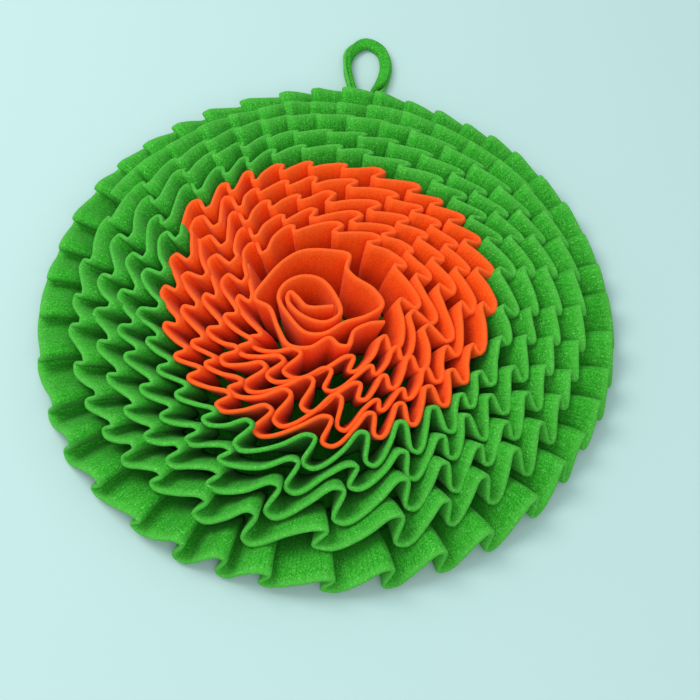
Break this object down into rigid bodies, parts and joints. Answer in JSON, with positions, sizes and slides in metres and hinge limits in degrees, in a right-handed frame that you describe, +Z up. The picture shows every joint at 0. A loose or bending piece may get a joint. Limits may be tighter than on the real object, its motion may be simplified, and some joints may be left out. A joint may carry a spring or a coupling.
{
  "type": "snuffle mat",
  "caption": "Round foraging mat for a pet: a spiral of knife-pleated fleece ruffles on a base cloth, with a rolled rosette in the middle and a hang loop at the rim",
  "frame": {"origin": "centre of the underside of the round base cloth, on the surface the mat lies on", "axes": "+Z up, away from the surface, through the ruffles; +Y across the mat towards the hang loop; +X to the right seen from above with the loop at the top"},
  "size_m": [0.4015, 0.4662, 0.0443],
  "materials": {
    "green_fleece": "brushed polyester fleece, fine rib, cut edges",
    "orange_fleece": "brushed polyester fleece, short nap, cut edges"
  },
  "bodies": {
    "root": {"base_cloth": "green_fleece", "rosette": "orange_fleece", "orange_row_5": "orange_fleece", "orange_row_4": "orange_fleece", "orange_row_3": "orange_fleece", "orange_row_2": "orange_fleece", "orange_row_1": "orange_fleece", "green_row_1": "green_fleece", "green_row_2": "green_fleece", "green_row_3": "green_fleece", "green_row_4": "green_fleece", "green_row_5": "green_fleece", "hang_loop": "green_fleece"}
  },
  "joints": []
}
